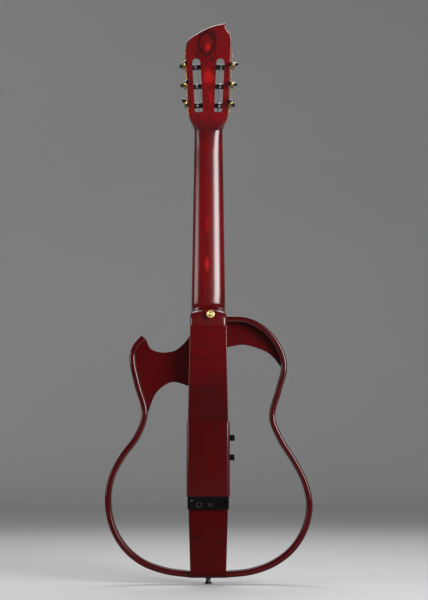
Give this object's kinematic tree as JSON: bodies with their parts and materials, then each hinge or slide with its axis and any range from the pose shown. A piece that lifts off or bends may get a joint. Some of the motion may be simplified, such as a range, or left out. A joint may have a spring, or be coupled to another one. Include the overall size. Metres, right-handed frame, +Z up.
{
  "type": "silent guitar",
  "caption": "Nylon-string silent guitar with a narrow centre body, open bent side rims, a neck, a slotted head with geared tuners, a tie bridge and built-in controls.",
  "frame": {"origin": "centre of the outer face of the strap pin at the tail", "axes": "+Z up the neck to the head, +Y out of the back, +X to the treble side with the cutaway; the strings face -Y"},
  "size_m": [0.3734, 0.0901, 1.02],
  "materials": {
    "body_wood": "clear gloss lacquer over red stained wood",
    "neck_wood": "clear gloss lacquer over red stained wood",
    "rosewood": "open grained, oiled",
    "black_plastic": "smooth black",
    "gold_plate": "polished gold plate",
    "brass": "machined",
    "steel": "plated",
    "bone": "smooth off-white",
    "nylon": "clear nylon",
    "wound_string": "silvered winding",
    "circuit_board": "solder mask",
    "cell_sleeve": "printed sleeve without words"
  },
  "bodies": {
    "guitar": {"center_block": "body_wood", "rim_treble": "body_wood", "rim_bass": "body_wood", "horn_wing": "body_wood", "shoulder_wing": "body_wood", "electronics_cover": "body_wood", "neck": "neck_wood", "headstock": "neck_wood", "fingerboard": "rosewood", "bridge": "rosewood", "headplate": "rosewood", "jack_panel": "black_plastic", "end_pin": "black_plastic", "tuner_plate_treble": "gold_plate", "tuner_plate_bass": "gold_plate", "strap_button_heel": "gold_plate", "piezo_pickup": "brass", "output_jack": "steel", "headphone_jack": "steel", "panel_screw": "steel", "truss_rod": "steel", "nut": "bone", "saddle": "bone", "string_1": "nylon", "string_2": "nylon", "string_3": "nylon", "string_4": "wound_string", "string_5": "wound_string", "string_6": "wound_string", "preamp_board": "circuit_board", "aa_cell_1": "cell_sleeve", "aa_cell_2": "cell_sleeve"},
    "knob_volume": {"volume_knob": "black_plastic"},
    "knob_effect": {"effect_knob": "black_plastic"},
    "power_switch": {"slide_switch": "black_plastic"},
    "key_1": {"tuner_worm_1": "steel", "tuner_button_1": "black_plastic"},
    "post_1": {"tuner_roller_1": "black_plastic", "tuner_gear_1": "brass"},
    "key_2": {"tuner_worm_2": "steel", "tuner_button_2": "black_plastic"},
    "post_2": {"tuner_roller_2": "black_plastic", "tuner_gear_2": "brass"},
    "key_3": {"tuner_worm_3": "steel", "tuner_button_3": "black_plastic"},
    "post_3": {"tuner_roller_3": "black_plastic", "tuner_gear_3": "brass"},
    "key_4": {"tuner_worm_4": "steel", "tuner_button_4": "black_plastic"},
    "post_4": {"tuner_roller_4": "black_plastic", "tuner_gear_4": "brass"},
    "key_5": {"tuner_worm_5": "steel", "tuner_button_5": "black_plastic"},
    "post_5": {"tuner_roller_5": "black_plastic", "tuner_gear_5": "brass"},
    "key_6": {"tuner_worm_6": "steel", "tuner_button_6": "black_plastic"},
    "post_6": {"tuner_roller_6": "black_plastic", "tuner_gear_6": "brass"}
  },
  "joints": [
    {"name": "key_1_turn", "type": "hinge", "parent": "guitar", "child": "key_1", "pos_m": [0.04185, 0.00484, 0.87873], "axis": [0, 0.9659, -0.2588], "continuous": true},
    {"name": "post_1_turn", "type": "hinge", "parent": "guitar", "child": "post_1", "pos_m": [0.03679, 0.00309, 0.87222], "axis": [0.9986, -0.0135, -0.0506], "continuous": true},
    {"name": "key_2_turn", "type": "hinge", "parent": "guitar", "child": "key_2", "pos_m": [0.04368, 0.01389, 0.91249], "axis": [0, 0.9659, -0.2588], "continuous": true},
    {"name": "post_2_turn", "type": "hinge", "parent": "guitar", "child": "post_2", "pos_m": [0.03862, 0.01214, 0.90598], "axis": [0.9986, -0.0135, -0.0506], "continuous": true},
    {"name": "key_3_turn", "type": "hinge", "parent": "guitar", "child": "key_3", "pos_m": [0.04551, 0.02293, 0.94625], "axis": [0, 0.9659, -0.2588], "continuous": true},
    {"name": "post_3_turn", "type": "hinge", "parent": "guitar", "child": "post_3", "pos_m": [0.04045, 0.02119, 0.93974], "axis": [0.9986, -0.0135, -0.0506], "continuous": true},
    {"name": "key_4_turn", "type": "hinge", "parent": "guitar", "child": "key_4", "pos_m": [-0.04551, 0.02293, 0.94625], "axis": [0, 0.9659, -0.2588], "continuous": true},
    {"name": "post_4_turn", "type": "hinge", "parent": "guitar", "child": "post_4", "pos_m": [-0.04045, 0.02119, 0.93974], "axis": [0.9986, 0.0135, 0.0506], "continuous": true},
    {"name": "key_5_turn", "type": "hinge", "parent": "guitar", "child": "key_5", "pos_m": [-0.04368, 0.01389, 0.91249], "axis": [0, 0.9659, -0.2588], "continuous": true},
    {"name": "post_5_turn", "type": "hinge", "parent": "guitar", "child": "post_5", "pos_m": [-0.03862, 0.01214, 0.90598], "axis": [0.9986, 0.0135, 0.0506], "continuous": true},
    {"name": "key_6_turn", "type": "hinge", "parent": "guitar", "child": "key_6", "pos_m": [-0.04185, 0.00484, 0.87873], "axis": [0, 0.9659, -0.2588], "continuous": true},
    {"name": "post_6_turn", "type": "hinge", "parent": "guitar", "child": "post_6", "pos_m": [-0.03679, 0.00309, 0.87222], "axis": [0.9986, 0.0135, 0.0506], "continuous": true},
    {"name": "knob_volume_turn", "type": "hinge", "parent": "guitar", "child": "knob_volume", "pos_m": [-0.03606, 0.015, 0.261], "axis": [1, 0, 0], "range_deg": [-150, 150]},
    {"name": "knob_effect_turn", "type": "hinge", "parent": "guitar", "child": "knob_effect", "pos_m": [-0.03577, 0.015, 0.226], "axis": [1, 0, 0], "range_deg": [-150, 150]},
    {"name": "power_slide", "type": "slide", "parent": "guitar", "child": "power_switch", "axis": [0, 0.5062, 0.8624], "range_m": [0, 0.004]}
  ],
  "couplings": [
    {"joint": "post_1_turn", "follows": "key_1_turn", "ratio": 0.066667},
    {"joint": "post_2_turn", "follows": "key_2_turn", "ratio": 0.066667},
    {"joint": "post_3_turn", "follows": "key_3_turn", "ratio": 0.066667},
    {"joint": "post_4_turn", "follows": "key_4_turn", "ratio": 0.066667},
    {"joint": "post_5_turn", "follows": "key_5_turn", "ratio": 0.066667},
    {"joint": "post_6_turn", "follows": "key_6_turn", "ratio": 0.066667}
  ]
}
